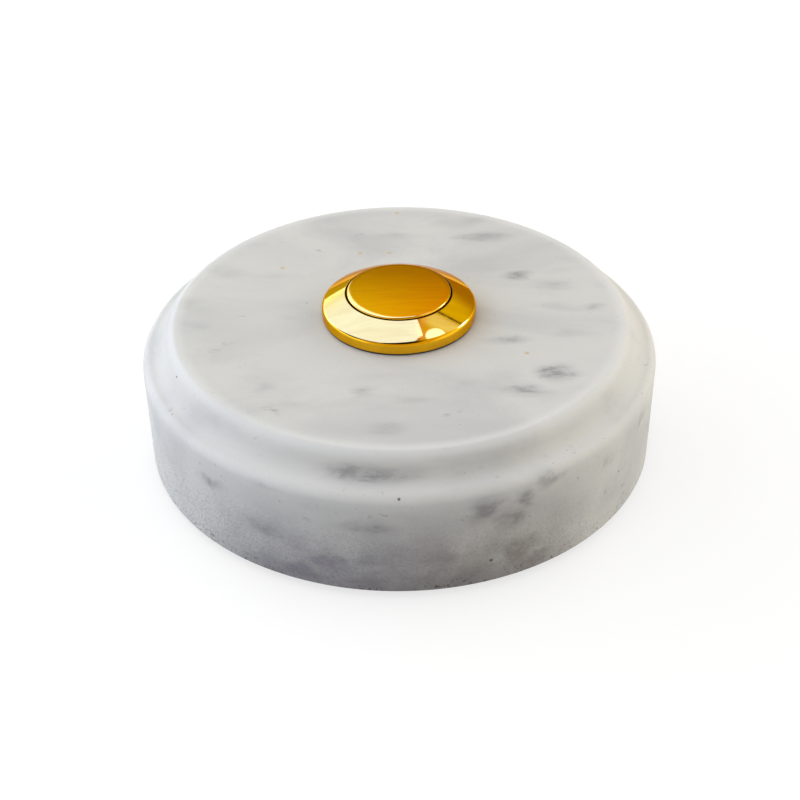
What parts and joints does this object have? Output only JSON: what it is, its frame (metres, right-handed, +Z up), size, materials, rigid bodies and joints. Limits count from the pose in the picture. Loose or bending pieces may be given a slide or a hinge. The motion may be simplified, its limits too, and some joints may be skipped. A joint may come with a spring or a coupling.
{
  "type": "doorbell push button",
  "caption": "Round white marble doorbell push with a moulded upper edge and a polished brass bezel round a spring-return press button.",
  "frame": {"origin": "centre of the underside, on the plane of the non-slip pad", "axes": "+Z up along the button's axis, out of the top of the stone; +Y up the wall when it hangs by its keyholes"},
  "size_m": [0.08, 0.08, 0.0269],
  "materials": {
    "marble": "honed",
    "polished_brass": "mirror polished",
    "turned_brass": "turned",
    "contact_brass": "rolled sheet",
    "contact_silver": "bright",
    "zinc_steel": "zinc plated",
    "bright_steel": "bright",
    "pad_rubber": "matt",
    "seal_rubber": "satin",
    "red_fibre": "vulcanised fibre",
    "phenolic": "moulded",
    "nylon": "moulded"
  },
  "bodies": {
    "base": {"stone_base": "marble", "base_pad": "pad_rubber", "back_cover": "zinc_steel", "cover_inserts": "turned_brass", "cover_screws": "bright_steel", "cable_grommet": "seal_rubber", "push_bezel": "polished_brass", "bezel_gasket": "seal_rubber", "fibre_washer": "red_fibre", "tooth_washer": "bright_steel", "lock_nut": "turned_brass", "contact_carrier": "phenolic", "fixed_contact_left": "contact_brass", "fixed_contact_right": "contact_brass", "fixed_rivets": "contact_silver", "terminal_clamps": "contact_brass", "terminal_screws": "bright_steel", "return_spring": "bright_steel"},
    "button": {"push_button": "polished_brass", "plunger": "nylon", "plunger_clip": "bright_steel", "contact_spring": "bright_steel"},
    "bridge": {"contact_bridge": "contact_brass", "bridge_rivets": "contact_silver"}
  },
  "joints": [
    {"name": "button_press", "type": "slide", "parent": "base", "child": "button", "axis": [0, 0, -1], "range_m": [0, 0.0018], "stiffness_N_per_m": 600, "springref_m": -0.003, "deforming": ["return_spring", "contact_spring"]},
    {"name": "bridge_travel", "type": "slide", "parent": "base", "child": "bridge", "axis": [0, 0, -1], "range_m": [0, 0.0012]}
  ],
  "couplings": [
    {"joint": "bridge_travel", "follows": "button_press", "ratio": 0.66}
  ]
}
